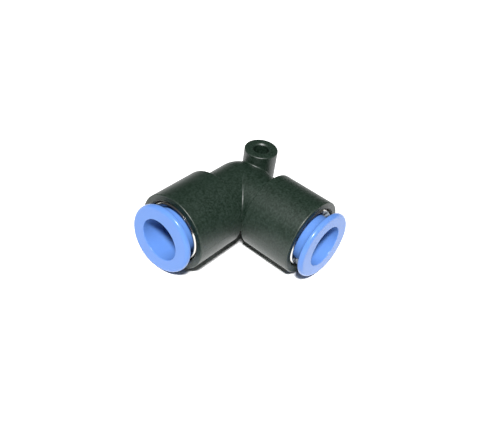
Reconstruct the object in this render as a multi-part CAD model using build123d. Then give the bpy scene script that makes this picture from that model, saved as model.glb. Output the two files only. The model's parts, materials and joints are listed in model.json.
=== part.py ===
from build123d import *
import os

# Union elbow, push-to-connect, for 12 mm tube. All lengths are millimetres.
# Frame: origin on the mounting hole's axis, level with the two port axes.
# +X is parallel to port A's axis, towards its mouth. +Y is parallel to port B's. +Z is up the hole.
# Along a port, stations are measured from the corner where the two port axes cross.

# Moulded body
CORNER_X = 8.5
CORNER_Y = 0.25
BARREL_R = 11.0
BARREL_START = 10.8
BARREL_END = 26.75
BARREL_BACK_ROUND = 0.3
BARREL_MOUTH_ROUND = 0.35
NECK_R = 8.7
MITRE_ROUND = 0.45
WEB_START = 6.0
WEB_END = 10.88
WEB_HALF = 1.6
BOSS_R = 4.85
BOSS_ROUND = 0.4
BOSS_ROOT_ROUND = 0.4
HOLE_R = 2.25
HOLE_LEAD = 0.35

# Bores in the body, from the corner out to the mouth
PASSAGE_R = 4.7
TUBE_STOP = 8.6
TUBE_SEAT_R = 6.1
SEAT_LEAD = 0.4
COUNTERBORE_R = 9.0
COUNTERBORE_START = 12.9
MOUTH_CHAMFER = 0.35

# Lip seal
SEAL_START = 12.95
SEAL_END = 15.95
SEAL_WALL = 1.1
SEAL_BASE = 1.2
SEAL_LIP_R = 5.85
SEAL_LIP_END = 15.3
SEAL_LIP_THICK = 0.7

# Spacer cup between the seal and the chuck
SPACER_START = 16.0
SPACER_FLOOR_END = 16.9
SPACER_END = 19.62
SPACER_BORE_R = 6.3
SPACER_CUP_R = 8.4

# Chuck: a thin ring with claws that lean in and down towards the tube
CHUCK_START = 19.7
CHUCK_END = 20.3
CHUCK_OUTER_R = 8.92
CHUCK_INNER_R = 8.45
CLAW_COUNT = 8
CLAW_PIVOT_R = 7.95
CLAW_PIVOT_STATION = 20.0
CLAW_LENGTH = 2.77
CLAW_THICK = 0.4
CLAW_LEAN = 40.6
CLAW_ROOT_WIDTH = 3.2
CLAW_TIP_WIDTH = 3.0
CLAW_EDGE = 0.45

# Guide ring, pressed into the mouth
GUIDE_START = 20.38
GUIDE_STEP = 25.65
GUIDE_END = 26.65
GUIDE_LIP_R = 8.65
GUIDE_BORE_R = 6.95
GUIDE_RECESS_R = 7.8
GUIDE_RECESS_END = 21.45
GUIDE_CHAMFER = 0.35
GUIDE_DISH_R = 8.15
GUIDE_DISH_DEPTH = 1.1

# Release button: nose, catch bead, sleeve and oval flange
NOSE_STATION = 19.65
NOSE_R = 6.7
NOSE_END = 20.5
BEAD_R = 7.6
BEAD_START = 20.9
BEAD_END = 21.4
SLEEVE_R = 6.8
FLANGE_BACK = 29.8
FLANGE_FRONT = 31.2
FLANGE_LONG_R = 11.0
FLANGE_SHORT_R = 9.7
FLANGE_FRONT_ROUND = 0.9
FLANGE_BACK_ROUND = 0.3
FLANGE_ROOT_ROUND = 2.3
BUTTON_BORE_R = 6.02
BUTTON_LIP_ROUND = 0.2

# Turn of each button's oval about its own port, as it stands
PORTS = {"a": 142.0, "b": 145.0}

FULL_TURN = 360.0
THROUGH = 3 * BARREL_R
TOLERANCE = 0.01


def disc(radius, start, end):
    """A cylinder along Z between two stations."""
    return Pos(0, 0, (start + end) / 2) * Cylinder(radius, end - start)


def tube(outer, inner, start, end):
    """A plain ring along Z between two stations."""
    return disc(outer, start, end) - disc(inner, start, end)


def turned(points):
    """A solid of revolution about Z from its half section, given as (radius, station) points."""
    section = Plane.XZ * Polygon(*points, align=None)
    return revolve(section, Axis.Z)


def rounded_barrel(radius, start, end, start_round, end_round):
    """A solid cylinder along Z whose two rims are rounded."""
    solid = disc(radius, start, end)
    rims = solid.edges().filter_by(GeomType.CIRCLE).sort_by(Axis.Z)
    solid = fillet(rims[0], start_round)
    rims = solid.edges().filter_by(GeomType.CIRCLE).sort_by(Axis.Z)
    return fillet(rims[-1], end_round)


def on_port(shape, port):
    """Move a shape modelled along +Z from the corner onto port A or port B."""
    if port == "a":
        return Pos(CORNER_X, CORNER_Y, 0) * Rot(0, 90, 0) * shape
    return Pos(CORNER_X, CORNER_Y, 0) * Rot(-90, 0, 0) * shape


def port_bores():
    """The stepped hole that one port needs, along Z from the corner."""
    bores = disc(PASSAGE_R, 0, TUBE_STOP + 1)
    bores += disc(TUBE_SEAT_R, TUBE_STOP, COUNTERBORE_START + 1)
    bores += turned([
        (0, COUNTERBORE_START - SEAT_LEAD),
        (TUBE_SEAT_R, COUNTERBORE_START - SEAT_LEAD),
        (TUBE_SEAT_R + SEAT_LEAD, COUNTERBORE_START),
        (0, COUNTERBORE_START),
    ])
    bores += disc(COUNTERBORE_R, COUNTERBORE_START, BARREL_END + 1)
    bores += turned([
        (0, BARREL_END - MOUTH_CHAMFER),
        (COUNTERBORE_R, BARREL_END - MOUTH_CHAMFER),
        (COUNTERBORE_R + MOUTH_CHAMFER, BARREL_END),
        (COUNTERBORE_R + MOUTH_CHAMFER, BARREL_END + 1),
        (0, BARREL_END + 1),
    ])
    return bores


def corner_web():
    """The block that fills the gap between the necks and the backs of the two barrels."""
    side = WEB_END - WEB_START
    middle = (WEB_START + WEB_END) / 2
    return Pos(CORNER_X + middle, CORNER_Y + middle, 0) * Box(side, side, 2 * WEB_HALF)


def mounting_boss():
    """The upright post behind port B's neck, as tall as the barrels are wide."""
    return rounded_barrel(BOSS_R, -BARREL_R, BARREL_R, BOSS_ROUND, BOSS_ROUND)


def mounting_hole():
    """The screw hole through the boss, with a small lead at both ends."""
    hole = disc(HOLE_R, -THROUGH, THROUGH)
    for side in (1, -1):
        lead = turned([
            (0, BARREL_R - HOLE_LEAD),
            (HOLE_R, BARREL_R - HOLE_LEAD),
            (HOLE_R + HOLE_LEAD, BARREL_R),
            (HOLE_R + HOLE_LEAD, BARREL_R + 1),
            (0, BARREL_R + 1),
        ])
        hole += lead if side > 0 else Rot(180, 0, 0) * lead
    return hole


def boss_root_edges(body):
    """The curved edges along which the boss runs into the necks and the elbow."""
    return body.edges().filter_by(GeomType.BSPLINE).filter_by(
        lambda edge: abs(Vector((edge @ 0.5).X, (edge @ 0.5).Y, 0).length - BOSS_R) < TOLERANCE
    )


def elbow_body():
    """The one-piece moulding: two necks mitred at a round elbow, the boss and the two barrels."""
    neck = disc(NECK_R, 0, BARREL_START + 1)
    barrel = rounded_barrel(BARREL_R, BARREL_START, BARREL_END, BARREL_BACK_ROUND, BARREL_MOUTH_ROUND)
    body = Pos(CORNER_X, CORNER_Y, 0) * Sphere(NECK_R)
    for port in PORTS:
        body += on_port(neck, port)
    body = fillet(body.edges().filter_by(GeomType.ELLIPSE), MITRE_ROUND)
    body += mounting_boss()
    body = fillet(boss_root_edges(body), BOSS_ROOT_ROUND)
    body += corner_web()
    for port in PORTS:
        body += on_port(barrel, port)
    body -= Pos(CORNER_X, CORNER_Y, 0) * Sphere(PASSAGE_R)
    for port in PORTS:
        body -= on_port(port_bores(), port)
    return body - mounting_hole()


def tube_seal():
    """Rubber lip seal: an outer wall, a flat base and a lip that leans onto the tube."""
    inner_wall_r = COUNTERBORE_R - SEAL_WALL
    return turned([
        (COUNTERBORE_R, SEAL_START),
        (COUNTERBORE_R, SEAL_END),
        (inner_wall_r, SEAL_END),
        (inner_wall_r, SEAL_START + SEAL_BASE),
        (SEAL_LIP_R + 2 * SEAL_LIP_THICK, SEAL_START + SEAL_BASE),
        (SEAL_LIP_R + SEAL_LIP_THICK, SEAL_LIP_END),
        (SEAL_LIP_R, SEAL_LIP_END),
        (TUBE_SEAT_R + SEAT_LEAD, SEAL_START),
    ])


def spacer_cup():
    """Hard washer over the seal, with a rim that carries the chuck ring."""
    return turned([
        (SPACER_BORE_R, SPACER_START),
        (COUNTERBORE_R, SPACER_START),
        (COUNTERBORE_R, SPACER_END),
        (SPACER_CUP_R, SPACER_END),
        (SPACER_CUP_R, SPACER_FLOOR_END),
        (SPACER_BORE_R, SPACER_FLOOR_END),
    ])


def chuck_ring():
    """The stainless ring that the claws spring from."""
    return tube(CHUCK_OUTER_R, CHUCK_INNER_R, CHUCK_START, CHUCK_END)


def chuck_claw(index):
    """One claw: a tapered blade with a sharpened tip, leaning in from its root."""
    half_thick = CLAW_THICK / 2
    blade = Plane.XY * Polygon(
        (0, -CLAW_ROOT_WIDTH / 2),
        (0, CLAW_ROOT_WIDTH / 2),
        (-CLAW_LENGTH, CLAW_TIP_WIDTH / 2),
        (-CLAW_LENGTH, -CLAW_TIP_WIDTH / 2),
        align=None,
    )
    blade = Pos(0, 0, -half_thick) * extrude(blade, CLAW_THICK)
    bevel = Plane.XZ * Polygon(
        (-CLAW_LENGTH, -half_thick),
        (-CLAW_LENGTH + CLAW_EDGE, -half_thick),
        (-CLAW_LENGTH, half_thick),
        align=None,
    )
    blade -= extrude(bevel, CLAW_ROOT_WIDTH, both=True)
    leaned = Pos(CLAW_PIVOT_R, 0, CLAW_PIVOT_STATION) * Rot(0, -CLAW_LEAN, 0) * blade
    return Rot(0, 0, index * FULL_TURN / CLAW_COUNT) * leaned


def guide_ring():
    """Plated metal ring pressed into the mouth, dished in front. Its bore guides the sleeve."""
    return turned([
        (GUIDE_RECESS_R, GUIDE_START),
        (COUNTERBORE_R - GUIDE_CHAMFER, GUIDE_START),
        (COUNTERBORE_R, GUIDE_START + GUIDE_CHAMFER),
        (COUNTERBORE_R, GUIDE_STEP),
        (GUIDE_LIP_R, GUIDE_STEP + COUNTERBORE_R - GUIDE_LIP_R),
        (GUIDE_LIP_R, GUIDE_END - GUIDE_CHAMFER),
        (GUIDE_LIP_R - GUIDE_CHAMFER, GUIDE_END),
        (GUIDE_DISH_R, GUIDE_END),
        (GUIDE_BORE_R, GUIDE_END - GUIDE_DISH_DEPTH),
        (GUIDE_BORE_R, GUIDE_RECESS_END),
        (GUIDE_RECESS_R, GUIDE_RECESS_END),
    ])


def circle_edges(shape, radius):
    """The round edges of one radius, in order along Z."""
    return shape.edges().filter_by(GeomType.CIRCLE).filter_by(
        lambda edge: abs(edge.radius - radius) < TOLERANCE
    ).sort_by(Axis.Z)


def release_button(turn):
    """Sleeve with an oval finger flange. Its nose stands just off the claws."""
    flange = extrude(Ellipse(FLANGE_LONG_R, FLANGE_SHORT_R), FLANGE_FRONT - FLANGE_BACK)
    flange = Pos(0, 0, FLANGE_BACK) * flange
    rims = flange.faces().sort_by(Axis.Z)
    flange = fillet(rims[-1].edges(), FLANGE_FRONT_ROUND)
    rims = flange.faces().filter_by(GeomType.PLANE).sort_by(Axis.Z)
    flange = fillet(rims[0].edges(), FLANGE_BACK_ROUND)
    button = Rot(0, 0, turn) * flange
    button += disc(SLEEVE_R, NOSE_END, FLANGE_BACK + 1)
    button = fillet(circle_edges(button, SLEEVE_R)[-1], FLANGE_ROOT_ROUND)
    button += disc(NOSE_R, NOSE_STATION, NOSE_END)
    button += disc(BEAD_R, BEAD_START, BEAD_END)
    button -= disc(BUTTON_BORE_R, NOSE_STATION - 1, FLANGE_FRONT + 1)
    return fillet(circle_edges(button, BUTTON_BORE_R)[-1], BUTTON_LIP_ROUND)


def build():
    """Every sub-part by name, in place."""
    parts = {"elbow_body": elbow_body()}
    for port, turn in PORTS.items():
        parts[f"tube_seal_{port}"] = on_port(tube_seal(), port)
        parts[f"spacer_cup_{port}"] = on_port(spacer_cup(), port)
        parts[f"chuck_ring_{port}"] = on_port(chuck_ring(), port)
        for index in range(CLAW_COUNT):
            parts[f"chuck_claw_{port}{index + 1}"] = on_port(chuck_claw(index), port)
        parts[f"guide_ring_{port}"] = on_port(guide_ring(), port)
        parts[f"release_button_{port}"] = on_port(release_button(turn), port)
    return parts


os.makedirs("parts", exist_ok=True)
for name, shape in build().items():
    export_step(shape, f"parts/{name}.step")
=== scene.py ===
import json
import math

import bmesh
import bpy
from mathutils import Matrix, Vector
from mathutils.bvhtree import BVHTree


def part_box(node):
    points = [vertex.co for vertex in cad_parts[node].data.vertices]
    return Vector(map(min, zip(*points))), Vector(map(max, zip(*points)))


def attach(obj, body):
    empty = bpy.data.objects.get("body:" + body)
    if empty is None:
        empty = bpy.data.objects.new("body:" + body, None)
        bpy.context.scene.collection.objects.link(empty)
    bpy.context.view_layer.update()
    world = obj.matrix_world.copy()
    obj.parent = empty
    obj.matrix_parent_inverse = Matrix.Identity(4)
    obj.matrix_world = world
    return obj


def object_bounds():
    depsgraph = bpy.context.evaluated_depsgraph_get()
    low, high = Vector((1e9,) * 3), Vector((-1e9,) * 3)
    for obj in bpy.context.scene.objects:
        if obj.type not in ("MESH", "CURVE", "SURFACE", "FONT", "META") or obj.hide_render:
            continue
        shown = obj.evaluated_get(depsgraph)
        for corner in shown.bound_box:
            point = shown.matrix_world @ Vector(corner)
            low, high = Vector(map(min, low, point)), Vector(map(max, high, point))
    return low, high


MM = 0.001

# The camera: where it looks, from where, and how far it is tipped
AIM = Vector((11.31, 4.26, -5.59)) * MM
CAMERA_AZIMUTH = math.radians(35.87)
CAMERA_ELEVATION = math.radians(40.50)
CAMERA_DISTANCE = 181.6 * MM
CAMERA_ROLL = math.radians(8.48)
LENS_MM = 46.96
SENSOR_MM = 36.0
CLIP_NEAR = 0.01
CLIP_FAR = 20.0

# The stage: angles in degrees, azimuth from +X towards +Y; lengths in metres; power in watts
FLOOR_SIZE = 1.2
FLOOR_DARK = (0.90, 0.90, 0.90, 1.0)
FLOOR_PALE = (0.92, 0.92, 0.92, 1.0)
FLOOR_CLOUD = 0.4
AMBIENT = 0.09
KEY_AZIMUTH = 33
KEY_ELEVATION = 57
KEY_DISTANCE = 1.6
KEY_SIZE = 0.2
KEY_POWER = 60

# Where the guide ring's dish, painted darker and bluer as a painted reflection, gives way to its
# polished lip: radii in millimetres
DISH_EDGE = 8.3
LIP_EDGE = 8.45

# Moulding marks on the body, in millimetres
RIDGE_HALF = 0.05
RIDGE_PROUD = 0.03
RIDGE_SUNK = 0.02
PASSAGE_CLEAR = 8.2
HOLE_CLEAR = 4.0
MOUTH_CLEAR = 0.5
GATE_R = 0.7
GATE_PROUD = 0.16
GATE_SIDES = 32
WELD_GAP = 0.002

# The gate stub's outline, foot to crown, as shares of its radius and height
GATE_PROFILE = ((1.0, -0.5), (1.0, 0.35), (0.88, 0.75), (0.55, 1.0), (0.25, 0.7), (0.0, 0.6))
# Its torn edge: how many waves go round it, how high they are and where they start
GATE_TEARS = ((3, 0.10, 0.6), (7, 0.05, 0.0))

# The cosine between bevelled and true normals at which an edge counts as fully worn
WEAR_COSINE = 0.75


# ---------------------------------------------------------------- node helpers

class Nodes:
    """A short way to build one material's node tree."""

    def __init__(self, name):
        self.material = bpy.data.materials.new(name)
        self.material.use_nodes = True
        self.tree = self.material.node_tree
        self.shader = self.tree.nodes["Principled BSDF"]
        self.coords = self.add("ShaderNodeTexCoord").outputs["Object"]

    def add(self, kind, **values):
        """A new node, with its properties and unlinked inputs set by name."""
        node = self.tree.nodes.new(kind)
        for key, value in values.items():
            if hasattr(node, key):
                setattr(node, key, value)
            else:
                node.inputs[key.replace("_", " ")].default_value = value
        return node

    def link(self, output, target):
        self.tree.links.new(output, target)

    def noise(self, size, detail=3.0, roughness=0.5, stretch=(1.0, 1.0, 1.0)):
        """Noise whose features are about `size` metres across, from 0 to 1."""
        mapping = self.add("ShaderNodeMapping")
        mapping.inputs["Scale"].default_value = stretch
        self.link(self.coords, mapping.inputs["Vector"])
        noise = self.add("ShaderNodeTexNoise", Scale=1.0 / size, Detail=detail, Roughness=roughness)
        self.link(mapping.outputs["Vector"], noise.inputs["Vector"])
        return noise.outputs["Fac"]

    def remap(self, value, low, high, start=0.0, end=1.0):
        """Map a value from start..end to low..high."""
        node = self.add("ShaderNodeMapRange")
        node.inputs["From Min"].default_value = start
        node.inputs["From Max"].default_value = end
        node.inputs["To Min"].default_value = low
        node.inputs["To Max"].default_value = high
        self.link(value, node.inputs["Value"])
        return node.outputs["Result"]

    def maths(self, operation, a, b):
        """One arithmetic step between a socket and a socket or number."""
        node = self.add("ShaderNodeMath", operation=operation)
        self.link(a, node.inputs[0])
        if isinstance(b, (int, float)):
            node.inputs[1].default_value = b
        else:
            self.link(b, node.inputs[1])
        return node.outputs["Value"]

    def mix(self, factor, first, second):
        """A colour between two colours."""
        node = self.add("ShaderNodeMix", data_type="RGBA")
        self.link(factor, node.inputs["Factor"])
        for socket, colour in ((node.inputs[6], first), (node.inputs[7], second)):
            if isinstance(colour, tuple):
                socket.default_value = colour
            else:
                self.link(colour, socket)
        return node.outputs[2]

    def edge_wear(self, radius):
        """1 on sharp edges, 0 on open faces: how far a bevelled normal leans from the true one."""
        bevel = self.add("ShaderNodeBevel", samples=6)
        bevel.inputs["Radius"].default_value = radius
        geometry = self.add("ShaderNodeNewGeometry")
        dot = self.add("ShaderNodeVectorMath", operation="DOT_PRODUCT")
        self.link(bevel.outputs["Normal"], dot.inputs[0])
        self.link(geometry.outputs["Normal"], dot.inputs[1])
        return self.remap(dot.outputs["Value"], 1.0, 0.0, WEAR_COSINE, 1.0)

    def turning_marks(self, size):
        """Rings cut by a lathe. Both ports' axes are the greater of x and y on the parts they carry."""
        split = self.add("ShaderNodeSeparateXYZ")
        self.link(self.coords, split.inputs["Vector"])
        along = self.maths("MAXIMUM", split.outputs["X"], split.outputs["Y"])
        noise = self.add("ShaderNodeTexNoise", noise_dimensions="1D", Scale=1.0 / size, Detail=2.0)
        self.link(along, noise.inputs["W"])
        return noise.outputs["Fac"]

    def port_radius(self, corner):
        """Distance from a port's axis: on either port's parts, that of z and the lesser of x and y."""
        split = self.add("ShaderNodeSeparateXYZ")
        self.link(self.coords, split.inputs["Vector"])
        across_a = self.maths("SUBTRACT", split.outputs["X"], corner.x)
        across_b = self.maths("SUBTRACT", split.outputs["Y"], corner.y)
        across = self.maths("MINIMUM", across_a, across_b)
        level = self.maths("POWER", across, 2.0)
        upright = self.maths("POWER", split.outputs["Z"], 2.0)
        return self.maths("POWER", self.maths("ADD", level, upright), 0.5)

    def bump(self, *layers):
        """Stack (height socket, depth in metres) layers into the shader's normal."""
        normal = None
        for height, depth in layers:
            node = self.add("ShaderNodeBump", Distance=depth, Strength=1.0)
            self.link(height, node.inputs["Height"])
            if normal is not None:
                self.link(normal, node.inputs["Normal"])
            normal = node.outputs["Normal"]
        self.link(normal, self.shader.inputs["Normal"])

    def set(self, **values):
        """Set the shader's own sockets."""
        for key, value in values.items():
            self.shader.inputs[key.replace("_", " ")].default_value = value


# ------------------------------------------------------------------- materials

def body_plastic():
    """Black glass-filled nylon: satin, finely pitted by the mould, a little paler along its edges,
    partly as wear and partly as a painted edge highlight.
    """
    n = Nodes("body_plastic")
    cloud = n.noise(5 * MM, detail=4)
    mottle = n.noise(0.9 * MM, detail=3)
    grain = n.noise(0.28 * MM, detail=2)
    speckle = n.remap(n.noise(0.5 * MM, detail=1), 0.0, 1.0, 0.42, 0.64)
    wear = n.edge_wear(0.25 * MM)
    colour = n.mix(cloud, (0.0, 0.005, 0.001, 1), (0.001, 0.009, 0.004, 1))
    colour = n.mix(n.remap(mottle, 0.0, 1.0, 0.35, 0.7), colour, (0.006, 0.015, 0.009, 1))
    colour = n.mix(n.maths("MULTIPLY", speckle, 0.45), colour, (0.020, 0.033, 0.026, 1))
    # Edges are mixed paler: partly wear, partly a painted edge highlight
    colour = n.mix(n.maths("MULTIPLY", wear, 0.5), colour, (0.05, 0.062, 0.055, 1))
    n.link(colour, n.shader.inputs["Base Color"])
    rough = n.maths("ADD", n.remap(cloud, 0.40, 0.50), n.remap(grain, -0.10, 0.10))
    n.link(rough, n.shader.inputs["Roughness"])
    n.bump((grain, 0.022 * MM), (mottle, 0.020 * MM))
    n.set(Specular_IOR_Level=0.5, IOR=1.5)
    return n.material


def button_plastic():
    """Light blue acetal: smooth, slightly waxy, lets a little light through."""
    n = Nodes("button_plastic")
    cloud = n.noise(5 * MM, detail=3)
    grain = n.noise(0.3 * MM, detail=2)
    wear = n.edge_wear(0.2 * MM)
    colour = n.mix(cloud, (0.072, 0.165, 0.42, 1), (0.084, 0.180, 0.45, 1))
    colour = n.mix(n.maths("MULTIPLY", wear, 0.25), colour, (0.16, 0.28, 0.62, 1))
    n.link(colour, n.shader.inputs["Base Color"])
    rough = n.maths("ADD", n.remap(cloud, 0.20, 0.28), n.remap(grain, -0.03, 0.03))
    n.link(rough, n.shader.inputs["Roughness"])
    n.bump((grain, 0.003 * MM), (n.noise(2.5 * MM), 0.015 * MM))
    n.set(Subsurface_Weight=0.05, Subsurface_Radius=(0.35, 0.6, 1.0), Subsurface_Scale=1.2 * MM)
    n.set(Specular_IOR_Level=0.25, IOR=1.48)
    return n.material


def guide_metal(corner):
    """Plated brass with fine turning marks, polished at the lip; the dish inside the lip is painted
    darker and bluer, a painted reflection of the blue button and of shade.
    """
    n = Nodes("guide_metal")
    cloud = n.noise(3 * MM, detail=4)
    turning = n.turning_marks(0.09 * MM)
    lip = n.remap(n.port_radius(corner), 0.0, 1.0, DISH_EDGE * MM, LIP_EDGE * MM)
    polished = n.mix(cloud, (0.58, 0.56, 0.52, 1), (0.70, 0.68, 0.64, 1))
    # Painted reflection: the dish colour is a dark blue-grey that stands in for the blue button and the
    # shade mirrored in it
    dish_painted_reflection = n.mix(cloud, (0.10, 0.13, 0.17, 1), (0.15, 0.18, 0.22, 1))
    n.link(n.mix(lip, dish_painted_reflection, polished), n.shader.inputs["Base Color"])
    n.link(n.remap(turning, 0.10, 0.22), n.shader.inputs["Roughness"])
    n.bump((turning, 0.002 * MM), (cloud, 0.004 * MM))
    n.set(Metallic=1.0)
    return n.material


def chuck_steel():
    """Stamped stainless spring steel."""
    n = Nodes("chuck_steel")
    cloud = n.noise(1.5 * MM, detail=4)
    scratch = n.noise(0.2 * MM, detail=3, stretch=(1.0, 6.0, 1.0))
    wear = n.edge_wear(0.08 * MM)
    colour = n.mix(cloud, (0.50, 0.50, 0.51, 1), (0.64, 0.64, 0.64, 1))
    colour = n.mix(wear, colour, (0.78, 0.78, 0.78, 1))
    n.link(colour, n.shader.inputs["Base Color"])
    n.link(n.remap(scratch, 0.22, 0.42), n.shader.inputs["Roughness"])
    n.bump((scratch, 0.005 * MM))
    n.set(Metallic=1.0)
    return n.material


def seal_rubber():
    """Black nitrile rubber with a dusty bloom."""
    n = Nodes("seal_rubber")
    bloom = n.noise(1.2 * MM, detail=5)
    colour = n.mix(bloom, (0.012, 0.012, 0.013, 1), (0.035, 0.035, 0.036, 1))
    n.link(colour, n.shader.inputs["Base Color"])
    n.link(n.remap(bloom, 0.55, 0.8), n.shader.inputs["Roughness"])
    n.bump((n.noise(0.15 * MM), 0.008 * MM))
    return n.material


def spacer_plastic():
    """Natural white acetal."""
    n = Nodes("spacer_plastic")
    cloud = n.noise(2 * MM, detail=3)
    colour = n.mix(cloud, (0.74, 0.72, 0.66, 1), (0.82, 0.80, 0.75, 1))
    n.link(colour, n.shader.inputs["Base Color"])
    n.link(n.remap(cloud, 0.35, 0.5), n.shader.inputs["Roughness"])
    n.bump((n.noise(0.3 * MM), 0.005 * MM))
    return n.material


MATERIALS = {
    "body_plastic": body_plastic,
    "button_plastic": button_plastic,
    "chuck_steel": chuck_steel,
    "seal_rubber": seal_rubber,
    "spacer_plastic": spacer_plastic,
}


def dress_nodes(frame):
    """Give every CAD node the finish of its material slot."""
    made = {slot: make() for slot, make in MATERIALS.items()}
    made["guide_metal"] = guide_metal(port_corner(frame))
    for part in frame["record"]["subparts"]:
        node = frame["nodes"][part["node"]]
        node.data.materials.clear()
        node.data.materials.append(made[part["material_slot"]])
    return made


# -------------------------------------------------------------- moulding marks

def port_corner(frame):
    """Where the two port axes cross, read from the record's mounts."""
    places = {mount["name"]: mount["pos_m"] for mount in frame["record"]["mounts"]}
    return Vector((places["tube_port_b"][0], places["tube_port_a"][1], 0))


def outside_body(point, corner, far):
    """Whether a point of the body's level section lies on its outside, clear of bores and mouths."""
    x, y = point.x - corner.x, point.y - corner.y
    if x > far.x - corner.x - MOUTH_CLEAR * MM or y > far.y - corner.y - MOUTH_CLEAR * MM:
        return False
    if math.hypot(point.x, point.y) < HOLE_CLEAR * MM:
        return False
    from_a = abs(y) if x > 0 else math.hypot(x, y)
    from_b = abs(x) if y > 0 else math.hypot(x, y)
    return min(from_a, from_b) > PASSAGE_CLEAR * MM


def level_section(mesh, corner, far):
    """The outline that the mould's parting plane cuts on the outside of the body."""
    outline = bmesh.new()
    outline.from_mesh(mesh)
    everything = outline.verts[:] + outline.edges[:] + outline.faces[:]
    bmesh.ops.bisect_plane(
        outline,
        geom=everything,
        plane_co=(0, 0, 0),
        plane_no=(0, 0, 1),
        clear_inner=True,
        clear_outer=True,
    )
    middles = {edge: (edge.verts[0].co + edge.verts[1].co) / 2 for edge in outline.edges}
    inner = [edge for edge, middle in middles.items() if not outside_body(middle, corner, far)]
    bmesh.ops.delete(outline, geom=inner, context="EDGES")
    bmesh.ops.remove_doubles(outline, verts=outline.verts[:], dist=WELD_GAP * MM)
    return outline


def new_piece(name, mesh, material):
    """A visible piece of the body from a bmesh, smooth shaded."""
    data = bpy.data.meshes.new(name)
    mesh.to_mesh(data)
    mesh.free()
    data.shade_smooth()
    piece = bpy.data.objects.new(name, data)
    bpy.context.scene.collection.objects.link(piece)
    data.materials.append(material)
    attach(piece, "fitting_body")


def parting_line(frame, material):
    """The fine three-sided ridge that the two halves of the mould leave round the body."""
    mesh = frame["nodes"]["elbow_body"].data
    outline = level_section(mesh, port_corner(frame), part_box("elbow_body")[1])
    surface = bmesh.new()
    surface.from_mesh(mesh)
    tree = BVHTree.FromBMesh(surface)
    ridge = bmesh.new()
    rings = {}
    for vert in outline.verts:
        out = tree.find_nearest(vert.co)[1]
        out = Vector((out.x, out.y, 0)).normalized()
        root = vert.co - out * RIDGE_SUNK * MM
        up = Vector((0, 0, RIDGE_HALF * MM))
        crest = vert.co + out * RIDGE_PROUD * MM
        rings[vert] = [ridge.verts.new(place) for place in (root - up, crest, root + up)]
    for edge in outline.edges:
        first, second = (rings[vert] for vert in edge.verts)
        for side in range(3):
            after = (side + 1) % 3
            ridge.faces.new((first[side], first[after], second[after], second[side]))
    for vert in outline.verts:
        if len(vert.link_edges) == 1:
            ridge.faces.new(rings[vert])
    bmesh.ops.recalc_face_normals(ridge, faces=ridge.faces[:])
    outline.free()
    surface.free()
    new_piece("parting_line", ridge, material)


def gate_mark(frame, material):
    """The stub where the plastic ran into the mould: a low torn disc on the back of the boss."""
    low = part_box("elbow_body")[0]
    corner = port_corner(frame)
    away = Vector((-corner.x, -corner.y, 0)).normalized()
    mesh = bmesh.new()
    rows = []
    for reach, height in GATE_PROFILE[:-1]:
        row = []
        for side in range(GATE_SIDES):
            turn = 2 * math.pi * side / GATE_SIDES
            torn = 1 + sum(size * math.sin(waves * turn + start) for waves, size, start in GATE_TEARS)
            row.append(mesh.verts.new((
                GATE_R * MM * reach * math.cos(turn),
                GATE_R * MM * reach * math.sin(turn),
                GATE_PROUD * MM * height * torn,
            )))
        rows.append(row)
    for lower, upper in zip(rows, rows[1:]):
        for side in range(GATE_SIDES):
            after = (side + 1) % GATE_SIDES
            mesh.faces.new((lower[side], lower[after], upper[after], upper[side]))
    centre = mesh.verts.new((0, 0, GATE_PROUD * MM * GATE_PROFILE[-1][1]))
    for side in range(GATE_SIDES):
        mesh.faces.new((rows[-1][side], rows[-1][(side + 1) % GATE_SIDES], centre))
    mesh.faces.new(rows[0][::-1])
    place = Matrix.Translation(away * -low.x) @ away.to_track_quat("Z", "Y").to_matrix().to_4x4()
    bmesh.ops.transform(mesh, matrix=place, verts=mesh.verts[:])
    new_piece("gate_mark", mesh, material)


# ----------------------------------------------------------------------- stage

def floor(level):
    """A plain white floor at the height the fitting rests on."""
    n = Nodes("floor_white")
    colour = n.mix(n.noise(FLOOR_CLOUD, detail=2), FLOOR_DARK, FLOOR_PALE)
    n.link(colour, n.shader.inputs["Base Color"])
    n.set(Roughness=0.9, Specular_IOR_Level=0.1)
    bpy.ops.mesh.primitive_plane_add(size=FLOOR_SIZE, location=(0, 0, level))
    plane = bpy.context.active_object
    plane.name = "floor"
    plane.data.materials.append(n.material)


def area_light(name, azimuth, elevation, distance, size, power):
    """A soft box aimed at the fitting. Azimuth is from +X towards +Y, in degrees."""
    a, e = math.radians(azimuth), math.radians(elevation)
    away = Vector((math.cos(a) * math.cos(e), math.sin(a) * math.cos(e), math.sin(e)))
    light = bpy.data.lights.new(name, "AREA")
    light.shape = "SQUARE"
    light.size = size
    light.energy = power
    holder = bpy.data.objects.new(name, light)
    holder.location = AIM + away * distance
    holder.rotation_euler = away.to_track_quat("Z", "Y").to_euler()
    bpy.context.scene.collection.objects.link(holder)


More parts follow.
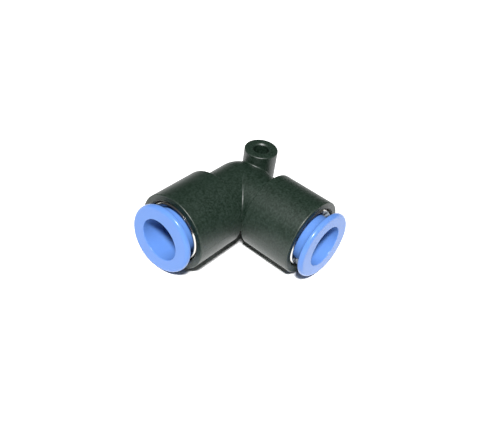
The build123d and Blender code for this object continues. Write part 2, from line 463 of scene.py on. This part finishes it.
def studio_world():
    """Dim even surroundings that look white where the camera sees past the floor."""
    world = bpy.data.worlds.new("studio")
    world.use_nodes = True
    tree = world.node_tree
    background = tree.nodes["Background"]
    background.inputs["Color"].default_value = (1, 1, 1, 1)
    seen = tree.nodes.new("ShaderNodeLightPath")
    level = tree.nodes.new("ShaderNodeMapRange")
    level.inputs["To Min"].default_value = AMBIENT
    level.inputs["To Max"].default_value = 1.0
    tree.links.new(seen.outputs["Is Camera Ray"], level.inputs["Value"])
    tree.links.new(level.outputs["Result"], background.inputs["Strength"])
    bpy.context.scene.world = world


def lights():
    """One soft box just above the camera, and dim white surroundings."""
    studio_world()
    area_light("key", KEY_AZIMUTH, KEY_ELEVATION, KEY_DISTANCE, KEY_SIZE, KEY_POWER)


def camera():
    """The camera, aimed, then rolled about its own axis."""
    level = math.cos(CAMERA_ELEVATION)
    away = Vector((
        math.cos(CAMERA_AZIMUTH) * level,
        math.sin(CAMERA_AZIMUTH) * level,
        math.sin(CAMERA_ELEVATION),
    ))
    data = bpy.data.cameras.new("camera")
    data.lens = LENS_MM
    data.sensor_width = SENSOR_MM
    data.clip_start = CLIP_NEAR
    data.clip_end = CLIP_FAR
    holder = bpy.data.objects.new("camera", data)
    turn = away.to_track_quat("Z", "Y").to_matrix().to_4x4() @ Matrix.Rotation(CAMERA_ROLL, 4, "Z")
    holder.matrix_world = Matrix.Translation(AIM + away * CAMERA_DISTANCE) @ turn
    bpy.context.scene.collection.objects.link(holder)
    bpy.context.scene.camera = holder


# ------------------------------------------------------------------------ main


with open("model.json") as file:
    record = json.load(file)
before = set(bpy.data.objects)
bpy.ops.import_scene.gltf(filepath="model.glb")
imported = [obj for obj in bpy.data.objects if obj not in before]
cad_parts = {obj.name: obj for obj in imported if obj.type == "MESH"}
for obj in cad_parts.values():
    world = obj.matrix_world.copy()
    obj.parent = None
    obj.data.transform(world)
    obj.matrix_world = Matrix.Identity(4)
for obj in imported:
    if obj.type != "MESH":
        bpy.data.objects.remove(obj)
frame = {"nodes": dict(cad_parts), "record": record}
cad_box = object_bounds()
finishes = dress_nodes(frame)
parting_line(frame, finishes["body_plastic"])
gate_mark(frame, finishes["body_plastic"])
floor(cad_box[0].z)
lights()
camera()
bpy.context.scene.view_settings.view_transform = "Standard"
